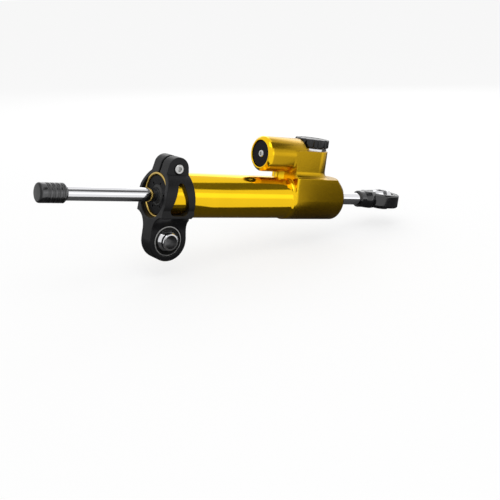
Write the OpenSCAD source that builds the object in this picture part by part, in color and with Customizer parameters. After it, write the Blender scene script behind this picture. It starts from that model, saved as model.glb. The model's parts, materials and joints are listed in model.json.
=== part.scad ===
// Motorcycle steering damper with a through rod, a tube clamp and a piggyback reservoir.
// X runs along the tube towards the rod end, Z points up to the reservoir, and the
// origin is the centre of the clamp's spherical bearing.

/* [Tube and block] */
// Height of the tube's axis above the centre of the clamp's bearing
tube_z = 26; // [25.5:0.5:28]
// Outer diameter of the damper tube
tube_d = 26; // [25.6:0.1:26.4]
// X of the tube's front edge
tube_front = -8.5; // [-8.8:0.1:-8.2]
// X of the front face of the rear block
block_front = 83.5; // [83:0.1:84]
// X of the rear face of the rear block
block_rear = 125; // [124.5:0.1:125.5]
// Width of the rear block
block_w = 27.5; // [27.2:0.1:28]
// Height of the block's flat top above the tube's axis
block_top = 14; // [13.5:0.1:14.5]

/* [Reservoir and knob] */
// Height of the reservoir's axis above the tube's axis
reservoir_z = 26.8; // [26.6:0.1:27.2]
// Outer diameter of the reservoir
reservoir_d = 21.4; // [21:0.1:21.6]
// X of the reservoir's front face
reservoir_front = 61.7; // [61:0.1:62]
// X of the adjuster knob's axis
knob_x = 101.8; // [101.5:0.1:102]
// Diameter of the adjuster knob
knob_d = 21.5; // [21:0.1:21.8]
// Number of finger flutes round the knob
knob_flutes = 14; // [8:1:20]
// Number of click positions on the detent ring
clicks = 16; // [12:1:24]

/* [Rod] */
// Diameter of the piston rod
rod_d = 8; // [8:0.1:8.2]
// X of the stop cap's left tip
cap_front = -79.7; // [-81:0.1:-79]
// X of the stop cap's right end
cap_rear = -64; // [-64.5:0.1:-63.5]
// X where the rod end's shank starts
shank_x = 148; // [147.5:0.1:149]
// X of the rod end's eye
eye_x = 170.5; // [170:0.1:171]
// Diameter of the rod end's eye
eye_d = 24; // [23:0.1:25]

/* [Clamp] */
// Width of the clamp foot that holds the bearing
foot_w = 24; // [23:0.1:25]
// Width of the clamp's top lug
lug_w = 13.3; // [12.5:0.1:14]
// Height of the pinch screw above the tube's axis
screw_z = 16.3; // [16:0.1:17]
// Outer diameter of the ring round the tube
ring_d = 31.4; // [31:0.1:32]
// Thickness of the foot
foot_t = 10.5; // [10.4:0.1:11]
// Thickness of the top lug
lug_t = 16.8; // [16.4:0.1:17.4]

/* [Bearings] */
// Bore of both spherical bearings
ball_bore = 8; // [8:0.05:8.2]
// Diameter of both bearing balls
ball_d = 15.88; // [15.8:0.01:16]

/* [Hidden] */
$fn = 96;

// Clearance between pieces that are fixed together, and between pieces that run
fit = 0.03;
run = 0.05;
eps = 0.01;

gold = "goldenrod";
black = "#1d1d20";
steel = "silver";
chrome = "gainsboro";
bronze = "peru";
rubber = "#101010";

// Tube, inner tube and end caps
tube_r = tube_d / 2;
body_bore_r = 11.5;
inner_r = 9.25;
inner_wall = 0.95;
cap_recess = 0.7;
cap_len = 16;
cap_shoulder = 12.5;
rod_r = rod_d / 2;
front_cap_x = tube_front + cap_recess;
rear_cap_x = block_rear - cap_recess;
wiper_depth = 2.6;
wiper_r = 6.2;
seal_at = 3.8;
seal_w = 2.6;
seal_r = 6;
bush_at = 7.8;
bush_r = 5.2;
o_ring_at = 9;
o_ring_w = 2;
o_ring_floor = 10.3;
pin_circle_r = 7.55;
pin_turn = -6;
tube_seal_x = 103.7;
tube_seal_w = 1.6;

// Reservoir, tower and adjuster
reservoir_r = reservoir_d / 2;
reservoir_bore_r = 8.2;
reservoir_end = 86.5;
knob_r = knob_d / 2;
reservoir_rear = knob_x - knob_r - 0.45;
tower_r = reservoir_r;
tower_top = 31;
foot_fillet = 4;
front_fillet = 2;
rear_face_r = 12.4;
rear_taper = 1.25;
rear_port_x = 109.9;
valve_r = 4;
valve_bottom = 14.6;
neck_r = 3;
needle_r = 2;
detent_ring_r = 9.7;
detent_ring_h = 1.6;
knob_z = tower_top + detent_ring_h + 0.3;
knob_h = 5.3;
neck_top = knob_z + 3;
knob_screw_r = 1;
detent_r = 7.2;
detent_ball_r = 1;
track_depth = 0.4;
plug_x = reservoir_front + 0.7;
plug_w = 4.5;
compensator_x = 76.5;
compensator_w = 5.5;

// Piston
piston_x = 41;
piston_w = 12;
piston_r = 9.05;
piston_groove = 4;
piston_groove_depth = 1.2;
circlip_w = 0.9;
circlip_gap = 0.1;

// Rod ends and bearings
shank_r = 5.5;
eye_r = eye_d / 2;
eye_t = 9;
ball_r = ball_d / 2;
ball_flat = 6;
race_r = 9;
race_lip = 0.75;
race_recess = 0.6;
stud_r = 3;
stud_len = 10;

// Clamp
ring_r = ring_d / 2;
foot_r = foot_w / 2;
lug_r = lug_w / 2;
clamp_race_r = 8.95;
clamp_race_w = 9.9;
clamp_ball_w = 16.4;
clamp_shoulder_r = 5.1;
slit_w = 1.6;
screw_head_r = 2.8;
screw_head_h = 3;
screw_proud = 1;
screw_r = 2;

// Places children at x on the tube's axis, with their Z along X.
module on_axis(x = 0) {
    translate([x, 0, tube_z]) rotate([0, 90, 0]) children();
}

// Turns children made about the tube's axis, from a profile of [radius, x] points.
module turned(points) {
    on_axis() rotate_extrude() polygon(points);
}

// A ring about the tube's axis from x0 to x1.
module ring(x0, x1, inner, outer) {
    turned([[inner, x0], [outer, x0], [outer, x1], [inner, x1]]);
}

// A ring of round section, flattened on the sides where it is squeezed.
module squeezed_ring(x0, x1, inner, outer) {
    b = (outer - inner) / 4;
    turned([
        [inner, x0 + b], [inner + b, x0], [outer - b, x0], [outer, x0 + b],
        [outer, x1 - b], [outer - b, x1], [inner + b, x1], [inner, x1 - b]
    ]);
}

// Section of the block: flat sides and top with a half round bottom.
module block_section(grow = 0) {
    w = block_w / 2 + grow;
    circle(r = w);
    translate([-w, 0]) square([2 * w, block_top]);
}

// Extrudes a section drawn in Y and Z, as its X and Y, along X.
module along_x(x0, x1) {
    translate([x0, 0, tube_z]) rotate([90, 0, 90]) linear_extrude(x1 - x0) children();
}

// A cone about the tube's axis that bevels the block's rear end all round.
module block_end_limit() {
    reach = 22;
    turned([
        [0, block_front], [reach, block_front],
        [reach, block_rear - rear_taper * (reach - rear_face_r)], [rear_face_r, block_rear],
        [0, block_rear]
    ]);
}

module block_solid() {
    intersection() {
        along_x(block_front, block_rear) block_section();
        block_end_limit();
    }
}

// Half section of the tower's foot: a hollow fillet that runs out on the block's top.
module foot_profile() {
    difference() {
        translate([0, block_top - 1]) square([tower_r + foot_fillet, foot_fillet + 1]);
        translate([tower_r + foot_fillet, block_top + foot_fillet]) circle(r = foot_fillet);
    }
}

// Section of the tower in front of its round end, with its feet cut off at the block's sides.
module tower_section() {
    intersection() {
        union() {
            translate([-tower_r, 0]) square([2 * tower_r, tower_top]);
            foot_profile();
            mirror([1, 0]) foot_profile();
        }
        translate([-block_w / 2, 0]) square([block_w, tower_top]);
    }
}

module tower_solid() {
    translate([knob_x, 0, tube_z]) cylinder(h = tower_top, r = tower_r);
    along_x(block_front, knob_x) tower_section();
    intersection() {
        translate([knob_x, 0, tube_z]) rotate_extrude() foot_profile();
        along_x(block_front, block_rear) translate([-block_w / 2, 0]) square([block_w, tower_top]);
    }
}

// Fillet between a cylinder of radius r on the X axis and the front of block and tower.
module front_fillet_ring(r) {
    rotate([0, 90, 0]) rotate_extrude() difference() {
        translate([r - 0.5, block_front - front_fillet])
            square([front_fillet + 0.5, front_fillet + eps]);
        translate([r + front_fillet, block_front - front_fillet]) circle(r = front_fillet);
    }
}

module front_fillets() {
    intersection() {
        union() {
            translate([0, 0, tube_z]) front_fillet_ring(tube_r);
            translate([0, 0, tube_z + reservoir_z]) front_fillet_ring(reservoir_r);
        }
        along_x(block_front - front_fillet, block_front + eps) {
            block_section();
            tower_section();
        }
    }
}

module reservoir_solid() {
    rim = 1.6;
    translate([0, 0, reservoir_z]) turned([
        [0, reservoir_front], [reservoir_r - rim, reservoir_front],
        [reservoir_r, reservoir_front + rim], [reservoir_r, knob_x], [0, knob_x]
    ]);
}

// Web between tube and reservoir, with a round nose.
module web_solid() {
    nose_x = 80;
    web_r = 4;
    web_z = 5;
    web_h = reservoir_z - 8;
    translate([nose_x, 0, tube_z + web_z]) cylinder(h = web_h, r = web_r);
    along_x(nose_x, block_front + 1) translate([-web_r, web_z]) square([2 * web_r, web_h]);
}

// Everything above the tower's top and behind the reservoir's flat rear face.
module knob_space() {
    inner_fillet = 1.4;
    translate([0, block_w, tube_z]) rotate([90, 0, 0]) linear_extrude(2 * block_w) difference() {
        translate([reservoir_rear, tower_top]) square([knob_x, reservoir_z]);
        difference() {
            translate([reservoir_rear - 1, tower_top - 1])
                square([inner_fillet + 1, inner_fillet + 1]);
            translate([reservoir_rear + inner_fillet, tower_top + inner_fillet])
                circle(r = inner_fillet);
        }
    }
}

// The body is one machined piece: tube, block, tower, reservoir and web.
module damper_body() {
    color(gold) difference() {
        union() {
            on_axis(tube_front) cylinder(h = block_front - tube_front + 1, r = tube_r);
            block_solid();
            tower_solid();
            front_fillets();
            reservoir_solid();
            web_solid();
        }
        ring(tube_front - 1, block_rear + 1, 0, body_bore_r);
        turned([
            [0, tube_front - eps], [body_bore_r + 0.4, tube_front - eps],
            [body_bore_r, tube_front + 0.4], [0, tube_front + 0.4]
        ]);
        translate([0, 0, reservoir_z])
            ring(reservoir_front - 1, reservoir_end, 0, reservoir_bore_r);
        knob_space();
        translate([knob_x, 0, tube_z + valve_bottom]) cylinder(h = 20, r = valve_r);
        oil_passages();
    }
}

// Drilled ways: tube to valve, valve to the rear of the tube, and valve to reservoir.
module oil_passages() {
    translate([knob_x, 0, tube_z + 9]) cylinder(h = valve_bottom - 8, r = 1.25);
    translate([rear_port_x, 0, tube_z + 10]) rotate([0, -34, 0]) cylinder(h = 9.5, r = 1);
    translate([0, 0, reservoir_z]) ring(reservoir_end - 1, knob_x - valve_r + 0.5, 0, 0.8);
}

module inner_tube() {
    color(steel) difference() {
        ring(front_cap_x + cap_shoulder + fit, rear_cap_x - cap_shoulder - fit,
            inner_r, inner_r + inner_wall);
        for (x = [front_cap_x + cap_len + 2, rear_cap_x - cap_len - 2], turn = [0 : 90 : 270])
            on_axis(x) rotate([0, 90, turn]) cylinder(h = 20, r = 0.9);
    }
}

module inner_tube_seal() {
    color(rubber) squeezed_ring(tube_seal_x, tube_seal_x + tube_seal_w,
        inner_r + inner_wall + fit, body_bore_r - fit);
}

// End cap with a pocket for the wiper, a seal groove, a bush seat and spanner holes.
// Its outer face is at x = 0 and it reaches inwards along +X.
module end_cap() {
    difference() {
        rotate([0, 90, 0]) rotate_extrude() polygon([
            [wiper_r, 0], [body_bore_r - 0.5, 0], [body_bore_r - fit, 0.5],
            [body_bore_r - fit, o_ring_at], [o_ring_floor, o_ring_at],
            [o_ring_floor, o_ring_at + o_ring_w], [body_bore_r - fit, o_ring_at + o_ring_w],
            [body_bore_r - fit, cap_shoulder], [inner_r - fit, cap_shoulder],
            [inner_r - fit, cap_len], [bush_r, cap_len], [bush_r, bush_at],
            [rod_r + 0.3, bush_at], [rod_r + 0.3, seal_at + seal_w], [seal_r, seal_at + seal_w],
            [seal_r, seal_at], [rod_r + 0.3, seal_at], [rod_r + 0.3, wiper_depth],
            [wiper_r, wiper_depth]
        ]);
        for (i = [0 : 5]) rotate([pin_turn + 30 + 60 * i, 0, 0])
            translate([-1, 0, pin_circle_r]) rotate([0, 90, 0]) cylinder(h = 3.5, r = 0.8);
    }
}

module guide_bush() {
    rotate([0, 90, 0]) rotate_extrude() polygon([
        [rod_r + run, bush_at + fit], [bush_r - fit, bush_at + fit],
        [bush_r - fit, cap_len], [rod_r + run + 0.4, cap_len], [rod_r + run, cap_len - 0.4]
    ]);
}

module rod_seal() {
    lip = 0.8;
    rotate([0, 90, 0]) rotate_extrude() polygon([
        [rod_r + run, seal_at + fit], [seal_r - fit, seal_at + fit],
        [seal_r - fit, seal_at + seal_w - fit], [seal_r - lip, seal_at + seal_w - fit],
        [rod_r + 1, seal_at + lip], [rod_r + lip, seal_at + seal_w - fit],
        [rod_r + run, seal_at + seal_w - fit]
    ]);
}

module wiper() {
    rotate([0, 90, 0]) rotate_extrude() polygon([
        [rod_r + run, 0.1], [rod_r + 0.6, -0.4], [rod_r + 1.1, 0.1], [wiper_r - 0.4, 0],
        [wiper_r - fit, 0.3], [wiper_r - fit, wiper_depth - fit],
        [rod_r + 1, wiper_depth - fit], [rod_r + run, 1.2]
    ]);
}

module cap_o_ring() {
    b = 0.35;
    rotate([0, 90, 0]) rotate_extrude() polygon([
        [o_ring_floor + fit, o_ring_at + fit + b], [o_ring_floor + fit + b, o_ring_at + fit],
        [body_bore_r - fit - b, o_ring_at + fit], [body_bore_r - fit, o_ring_at + fit + b],
        [body_bore_r - fit, o_ring_at + o_ring_w - fit - b],
        [body_bore_r - fit - b, o_ring_at + o_ring_w - fit],
        [o_ring_floor + fit + b, o_ring_at + o_ring_w - fit],
        [o_ring_floor + fit, o_ring_at + o_ring_w - fit - b]
    ]);
}

module at_front_cap() {
    translate([front_cap_x, 0, tube_z]) children();
}

module at_rear_cap() {
    translate([rear_cap_x, 0, tube_z]) rotate([0, 0, 180]) children();
}

module front_end_cap() { color(black) at_front_cap() end_cap(); }
module front_guide_bush() { color(bronze) at_front_cap() guide_bush(); }
module front_rod_seal() { color(rubber) at_front_cap() rod_seal(); }
module front_wiper() { color(rubber) at_front_cap() wiper(); }
module front_cap_o_ring() { color(rubber) at_front_cap() cap_o_ring(); }
module rear_end_cap() { color(black) at_rear_cap() end_cap(); }
module rear_guide_bush() { color(bronze) at_rear_cap() guide_bush(); }
module rear_rod_seal() { color(rubber) at_rear_cap() rod_seal(); }
module rear_wiper() { color(rubber) at_rear_cap() wiper(); }
module rear_cap_o_ring() { color(rubber) at_rear_cap() cap_o_ring(); }

// Plug in the reservoir's mouth, with a groove for its O-ring and a screw in the middle.
module reservoir_plug() {
    r = reservoir_bore_r - fit;
    color(black) translate([0, 0, reservoir_z]) difference() {
        turned([
            [0, plug_x], [r - 0.5, plug_x], [r, plug_x + 0.5], [r, plug_x + 2],
            [r - 1, plug_x + 2], [r - 1, plug_x + 3.4], [r, plug_x + 3.4],
            [r, plug_x + plug_w], [0, plug_x + plug_w]
        ]);
        ring(plug_x - 1, plug_x + 1.2, 0, 2.5);
        ring(plug_x - 1, plug_x + plug_w + 1, 0, 1.25 + fit);
    }
}

module reservoir_plug_o_ring() {
    color(rubber) translate([0, 0, reservoir_z]) squeezed_ring(
        plug_x + 2 + fit, plug_x + 3.4 - fit, reservoir_bore_r - 1, reservoir_bore_r - fit);
}

module bleed_screw() {
    color(steel) translate([0, 0, reservoir_z]) difference() {
        turned([
            [0, plug_x - 0.1], [1.9, plug_x - 0.1], [2.4, plug_x + 0.4],
            [2.4, plug_x + 1.2 - fit], [1.25, plug_x + 1.2 - fit], [1.25, plug_x + 5], [0, plug_x + 5]
        ]);
        on_axis(plug_x - 1) cylinder(h = 1.8, r = 1.15, $fn = 6);
    }
}

module compensator_piston() {
    r = reservoir_bore_r - run;
    x1 = compensator_x + compensator_w;
    color(steel) translate([0, 0, reservoir_z]) turned([
        [0, compensator_x + 1.5], [4.5, compensator_x + 1.5], [5, compensator_x],
        [r, compensator_x], [r, compensator_x + 1.8], [r - 1.1, compensator_x + 1.8],
        [r - 1.1, compensator_x + 3.4], [r, compensator_x + 3.4], [r, x1 - 0.4],
        [r - 0.4, x1], [0, x1]
    ]);
}

module compensator_o_ring() {
    color(rubber) translate([0, 0, reservoir_z]) squeezed_ring(
        compensator_x + 1.8 + fit, compensator_x + 3.4 - fit,
        reservoir_bore_r - run - 1.1 + fit, reservoir_bore_r - run);
}

// Points of one ring of the coil's wire at turn angle a.
function coil_ring(a, x, coil_r, wire_r, sides) = [
    for (i = [0 : sides - 1]) let (t = 360 * i / sides, r = coil_r + wire_r * cos(t))
        [x + wire_r * sin(t), r * cos(a), r * sin(a)]
];

// A coil spring about the X axis from x0 to x1, with its end turns closed.
module coil(x0, x1, coil_r, wire_r, turns, per_turn = 16, sides = 6) {
    n = turns * per_turn;
    lo = x0 + wire_r;
    hi = x1 - wire_r;
    function smooth(u) = u < 0.15 ? 0.7 * u : u > 0.85 ? 1 - 0.7 * (1 - u)
        : 0.105 + (u - 0.15) * 0.79 / 0.7;
    points = [
        for (k = [0 : n]) each coil_ring(360 * k / per_turn, lo + (hi - lo) * smooth(k / n),
            coil_r, wire_r, sides)
    ];
    sides_faces = [
        for (k = [0 : n - 1], i = [0 : sides - 1])
            let (a = k * sides + i, b = k * sides + (i + 1) % sides)
                each [[a, b, b + sides], [a, b + sides, a + sides]]
    ];
    ends = [[for (i = [sides - 1 : -1 : 0]) i], [for (i = [0 : sides - 1]) n * sides + i]];
    polyhedron(points = points, faces = concat(sides_faces, ends), convexity = 10);
}

module compensator_spring() {
    color(steel) translate([0, 0, tube_z + reservoir_z])
        coil(plug_x + plug_w + 0.1, compensator_x - 0.1, 6.4, 0.5, 5);
}

// Threaded cartridge that holds the needle, with a neck on which the knob turns.
module valve_cartridge() {
    port_z = valve_bottom + 3;
    groove_z = reservoir_z - 1;
    color(steel) difference() {
        translate([knob_x, 0, tube_z]) rotate_extrude() polygon([
            [1, valve_bottom + 0.1], [valve_r - 0.5, valve_bottom + 0.1],
            [valve_r - 0.5, valve_bottom + 5.4], [valve_r - fit, valve_bottom + 5.6],
            [valve_r - fit, valve_bottom + 7], [valve_r - 0.9, valve_bottom + 7],
            [valve_r - 0.9, valve_bottom + 8.4], [valve_r - fit, valve_bottom + 8.4],
            [valve_r - fit, groove_z], [valve_r - 0.7, groove_z], [valve_r - 0.7, groove_z + 2],
            [valve_r - fit, groove_z + 2], [valve_r - fit, tower_top + fit],
            [5, tower_top + fit], [5, tower_top + detent_ring_h - 0.1],
            [neck_r, tower_top + detent_ring_h - 0.1], [neck_r, neck_top - 2.2],
            [neck_r - 0.5, neck_top - 2.2], [neck_r - 0.5, neck_top - 0.8],
            [neck_r, neck_top - 0.8], [neck_r, neck_top - 0.3], [neck_r - 0.3, neck_top],
            [needle_r + run, neck_top], [needle_r + run, valve_bottom + 2], [1, valve_bottom + 1]
        ]);
        for (turn = [0 : 90 : 270]) translate([knob_x, 0, tube_z + port_z]) rotate([0, 90, turn])
            cylinder(h = 6, r = 0.7);
        translate([knob_x, 0, tube_z + groove_z + 1]) rotate([0, 90, 180])
            cylinder(h = 6, r = 0.5);
    }
}

module valve_o_ring() {
    z = valve_bottom + 7 + fit;
    b = 0.2;
    color(rubber) translate([knob_x, 0, tube_z]) rotate_extrude() polygon([
        [valve_r - 0.9 + fit, z + b], [valve_r - 0.9 + fit + b, z], [valve_r - fit - b, z],
        [valve_r - fit, z + b], [valve_r - fit, z + 1.3 - b], [valve_r - fit - b, z + 1.3],
        [valve_r - 0.9 + fit + b, z + 1.3], [valve_r - 0.9 + fit, z + 1.3 - b]
    ]);
}

// Ring under the knob, with a ball track and a dimple for each click.
module detent_ring() {
    track_r = detent_ball_r + run;
    ball_z = tower_top + detent_ring_h - track_depth + track_r;
    color(chrome) difference() {
        translate([knob_x, 0, tube_z]) rotate_extrude() polygon([
            [5 + fit, tower_top + fit], [detent_ring_r, tower_top + fit],
            [detent_ring_r, tower_top + detent_ring_h - 0.3],
            [detent_ring_r - 0.3, tower_top + detent_ring_h], [5 + fit, tower_top + detent_ring_h]
        ]);
        translate([knob_x, 0, tube_z + ball_z]) rotate_extrude() translate([detent_r, 0])
            circle(r = track_r);
        for (i = [0 : clicks - 1]) rotate_about_knob(i * 360 / clicks)
            translate([detent_r, 0, tube_z + tower_top + detent_ring_h - track_depth - 0.2])
                cylinder(h = 2, r = 0.45, $fn = 24);
    }
}

module rotate_about_knob(angle) {
    translate([knob_x, 0, 0]) rotate([0, 0, angle]) children();
}

// Needle with a sharp cone at its seat and a square tang that slides in the knob.
module metering_needle() {
    tang = 2.3;
    color(chrome) {
        translate([knob_x, 0, tube_z]) rotate_extrude() polygon([
            [0, valve_bottom + 1.3], [0.3, valve_bottom + 1.3], [1.4, valve_bottom + 5],
            [1.4, valve_bottom + 8], [needle_r, valve_bottom + 8.6], [needle_r, neck_top - 1],
            [0, neck_top - 1]
        ]);
        translate([knob_x - tang / 2, -tang / 2, tube_z + neck_top - 1.5])
            cube([tang, tang, 2.7]);
    }
}

module adjuster_knob() {
    chamfer = 0.5;
    socket = 2.4;
    z1 = knob_z + knob_h;
    flute_r = 2.6;
    color(black) difference() {
        translate([knob_x, 0, tube_z]) rotate_extrude() polygon([
            [neck_r + run, knob_z], [knob_r - chamfer, knob_z], [knob_r, knob_z + chamfer],
            [knob_r, z1 - chamfer], [knob_r - chamfer, z1], [0, z1], [0, neck_top + 0.3],
            [neck_r + run, neck_top + 0.3]
        ]);
        for (i = [0 : knob_flutes - 1]) rotate_about_knob(360 * (i + 0.5) / knob_flutes)
            translate([knob_r + flute_r - 0.75, 0, tube_z + knob_z - 1])
                cylinder(h = knob_h + 2, r = flute_r, $fn = 48);
        translate([knob_x - socket / 2, -socket / 2, tube_z + neck_top])
            cube([socket, socket, 1.8]);
        detent_hole();
        knob_screw_hole();
    }
}

module detent_hole() {
    translate([knob_x - detent_r, 0, tube_z + knob_z - 1])
        cylinder(h = 5.3, r = detent_ball_r + run, $fn = 48);
}

// Radial hole at the back of the knob for the set screw, in line with the neck's groove.
module knob_screw_hole() {
    translate([knob_x, 0, tube_z + neck_top - 1.5]) rotate([0, 90, 0])
        cylinder(h = knob_r + 1, r = knob_screw_r + fit, $fn = 48);
}

module knob_set_screw() {
    color(steel) difference() {
        translate([knob_x, 0, tube_z + neck_top - 1.5]) rotate([0, 90, 0]) rotate_extrude()
            polygon([
                [0, neck_r - 0.4], [0.5, neck_r - 0.4], [0.5, neck_r + 0.3],
                [knob_screw_r, neck_r + 0.8], [knob_screw_r, neck_r + 5], [0, neck_r + 5]
            ], $fn = 48);
        translate([knob_x + neck_r + 3.6, 0, tube_z + neck_top - 1.5]) rotate([0, 90, 0])
            cylinder(h = 3, r = 0.6, $fn = 6);
    }
}

module detent_ball() {
    z = tower_top + detent_ring_h - track_depth + detent_ball_r + 2 * run;
    color(chrome) translate([knob_x - detent_r, 0, tube_z + z]) sphere(r = detent_ball_r, $fn = 48);
}

module detent_spring() {
    z = tower_top + detent_ring_h - track_depth + 2 * detent_ball_r + 2 * run;
    top = knob_z + 4.2;
    color(steel) translate([knob_x - detent_r, 0, tube_z]) rotate([0, -90, 0])
        coil(z + 0.05, top, 0.75, 0.17, 5, 12, 5);
}

module piston() {
    w = piston_w / 2;
    groove = piston_groove / 2;
    floor_r = piston_r - piston_groove_depth;
    c = 0.6;
    color(steel) turned([
        [rod_r + run, piston_x - w], [piston_r - c, piston_x - w], [piston_r, piston_x - w + c],
        [piston_r, piston_x - groove], [floor_r, piston_x - groove],
        [floor_r, piston_x + groove], [piston_r, piston_x + groove],
        [piston_r, piston_x + w - c], [piston_r - c, piston_x + w], [rod_r + run, piston_x + w]
    ]);
}

// Plain bearing band round the piston, cut through at one place.
module piston_ring() {
    color("#3b5a4a") difference() {
        ring(piston_x - piston_groove / 2 + fit, piston_x + piston_groove / 2 - fit,
            piston_r - piston_groove_depth + fit, inner_r - run);
        translate([piston_x, 0, tube_z + inner_r]) rotate([0, 0, 45]) cube([9, 0.5, 6], center = true);
    }
}

module piston_circlips() {
    reach = piston_w / 2 + circlip_gap;
    color(steel) for (x = [piston_x - reach - circlip_w, piston_x + reach]) difference() {
        ring(x, x + circlip_w, rod_r - 0.4 + fit, rod_r + 1.6);
        translate([x - 1, -0.9, tube_z - 10]) cube([circlip_w + 2, 1.8, 10]);
    }
}

module piston_rod() {
    reach = piston_w / 2 + circlip_gap;
    groove = circlip_w + 2 * fit;
    left = piston_x - reach - circlip_w - fit;
    right = piston_x + reach - fit;
    floor_r = rod_r - 0.4;
    color(chrome) turned([
        [0, cap_rear - stud_len], [stud_r - 0.4, cap_rear - stud_len],
        [stud_r, cap_rear - stud_len + 0.4], [stud_r, cap_rear + 0.1], [rod_r - 0.3, cap_rear + 0.1],
        [rod_r, cap_rear + 0.4], [rod_r, left], [floor_r, left], [floor_r, left + groove],
        [rod_r, left + groove], [rod_r, right], [floor_r, right], [floor_r, right + groove],
        [rod_r, right + groove], [rod_r, shank_x + 7], [rod_r - 0.5, shank_x + 7.5],
        [0, shank_x + 7.5]
    ]);
}

// Stop cap on the rod's free end, with pairs of turned grip grooves.
module stop_cap() {
    r = 5.45;
    round = 1.2;
    pitch = 2.75;
    groove_w = 0.55;
    color(black) difference() {
        on_axis() rotate_extrude() difference() {
            union() {
                translate([0, cap_front + round]) square([r, cap_rear - cap_front - 2 * round]);
                translate([0, cap_front]) square([r - round, cap_rear - cap_front]);
                translate([r - round, cap_front + round]) circle(r = round);
                polygon([[0, cap_rear - round], [r, cap_rear - round], [r - round, cap_rear],
                    [0, cap_rear]]);
            }
            for (i = [0 : 3], side = [0, 1])
                translate([r - 0.4, cap_front + 4 + i * pitch + side * 0.95])
                    square([2, groove_w]);
            translate([-1, cap_rear - stud_len - 0.5])
                square([1 + stud_r + fit, stud_len + 2]);
        }
    }
}

// Rod end: a turned shank that holds the rod and a flat round eye.
module rod_end_housing() {
    half = eye_t / 2;
    c = 0.9;
    color(black) difference() {
        union() {
            turned([
                [0, shank_x], [shank_r - 0.5, shank_x], [shank_r, shank_x + 0.5],
                [shank_r, shank_x + 6], [0, shank_x + 6]
            ]);
            intersection() {
                on_axis(shank_x + 4) cylinder(h = 12, r1 = shank_r - 0.2, r2 = eye_r - 1.5);
                translate([shank_x, -eye_r, tube_z - half - 1])
                    cube([eye_x - shank_x, eye_d, eye_t + 2]);
                translate([shank_x, 0, tube_z]) rotate([0, 90, 0])
                    cylinder(h = 20, r1 = 9, r2 = 4.6);
            }
            translate([eye_x, 0, tube_z]) rotate_extrude() polygon([
                [0, -half], [eye_r - c, -half], [eye_r, -half + c],
                [eye_r, half - c], [eye_r - c, half], [0, half]
            ]);
        }
        translate([eye_x, 0, tube_z - 10]) cylinder(h = 20, r = race_r);
        ring(shank_x - 1, shank_x + 7.8, 0, rod_r + fit);
    }
}

// Race with a spherical seat, about the Z axis, with a thin lip round its recessed face.
module race(outer, half) {
    face = half - race_recess;
    lip = outer - race_lip;
    c = 0.25;
    difference() {
        rotate_extrude() polygon([
            [0, -face], [lip, -face], [lip, -half], [outer - c, -half], [outer, -half + c],
            [outer, half - c], [outer - c, half], [lip, half], [lip, face], [0, face]
        ]);
        sphere(r = ball_r + run);
        cylinder(h = 4 * half, r = sqrt(pow(ball_r + run, 2) - pow(face, 2)), center = true);
    }
}

module rod_end_race() {
    color(steel) translate([eye_x, 0, tube_z]) race(race_r - fit, eye_t / 2 - 0.1);
}

module rod_end_ball() {
    color(chrome) translate([eye_x, 0, tube_z]) difference() {
        intersection() {
            sphere(r = ball_r);
            cube([20, 20, 2 * ball_flat], center = true);
        }
        cylinder(h = 20, r = ball_bore / 2, center = true);
        for (side = [-1, 1]) translate([0, 0, side * (ball_flat - 0.4)]) mirror([0, 0, side < 0 ? 1 : 0])
            cylinder(h = 0.5, r1 = ball_bore / 2 - 0.01, r2 = ball_bore / 2 + 0.5);
    }
}

// Clamp outline seen from the side: a foot and a lug circle joined by their tangents,
// and fuller in front where it covers the tube's end.
module clamp_side() {
    dz = screw_z + tube_z;
    lean = asin((foot_r - lug_r) / dz);
    upper_bulge = [-10.2, tube_z + 4];
    lower_bulge = [-11.4, tube_z - 11];
    circle(r = foot_r);
    translate([0, dz]) circle(r = lug_r);
    polygon([
        [foot_r * cos(lean), foot_r * sin(lean)], [lug_r * cos(lean), dz + lug_r * sin(lean)],
        [-lug_r * cos(lean), dz + lug_r * sin(lean)], upper_bulge, lower_bulge,
        [-foot_r * cos(lean), foot_r * sin(lean)]
    ]);
}

// Clamp outline seen along the tube: ring, lug and foot, with fillets over the foot.
module clamp_front() {
    fillet = 9;
    reach = ring_r + fillet;
    side = foot_t / 2 + fillet;
    drop = sqrt(reach * reach - side * side);
    circle(r = ring_r);
    translate([-lug_t / 2, 0]) square([lug_t, screw_z + lug_r + 1]);
    translate([-foot_t / 2, -tube_z - foot_r - 1]) square([foot_t, tube_z + foot_r]);
    difference() {
        translate([-side, -drop]) square([2 * side, drop]);
        for (s = [-1, 1]) translate([s * side, -drop]) circle(r = fillet);
    }
}

// Window in each side wall of the ring: a rounded triangle that narrows upwards.
module clamp_window() {
    low_z = -6.5;
    high_z = 6.8;
    big_r = 3;
    small_r = 2.2;
    half = 2.85;
    translate([-0.2, 0]) {
        for (s = [-1, 1]) translate([s * half, low_z]) circle(r = big_r);
        translate([0, high_z]) circle(r = small_r);
        translate([-half, low_z - big_r]) square([2 * half, big_r]);
        polygon([
            [-half - big_r, low_z], [half + big_r, low_z], [small_r, high_z], [-small_r, high_z]
        ]);
    }
}

module clamp_body() {
    color(black) difference() {
        intersection() {
            translate([0, 20, 0]) rotate([90, 0, 0]) linear_extrude(40) clamp_side();
            along_x(-20, 20) clamp_front();
        }
        ring(-20, 20, 0, tube_r + fit);
        translate([0, 20, tube_z]) rotate([90, 0, 0]) linear_extrude(40) clamp_window();
        translate([-20, -slit_w / 2, tube_z]) cube([40, slit_w, 40]);
        rotate([90, 0, 0]) cylinder(h = 40, r = clamp_race_r, center = true);
        translate([0, 0, tube_z + screw_z]) rotate([90, 0, 0]) {
            cylinder(h = 40, r = screw_r + fit, center = true);
            translate([0, 0, lug_t / 2 + screw_proud - screw_head_h])
                cylinder(h = 10, r = screw_head_r + 0.15);
            cylinder(h = 10, r = screw_r + 0.2);
        }
    }
}

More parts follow.
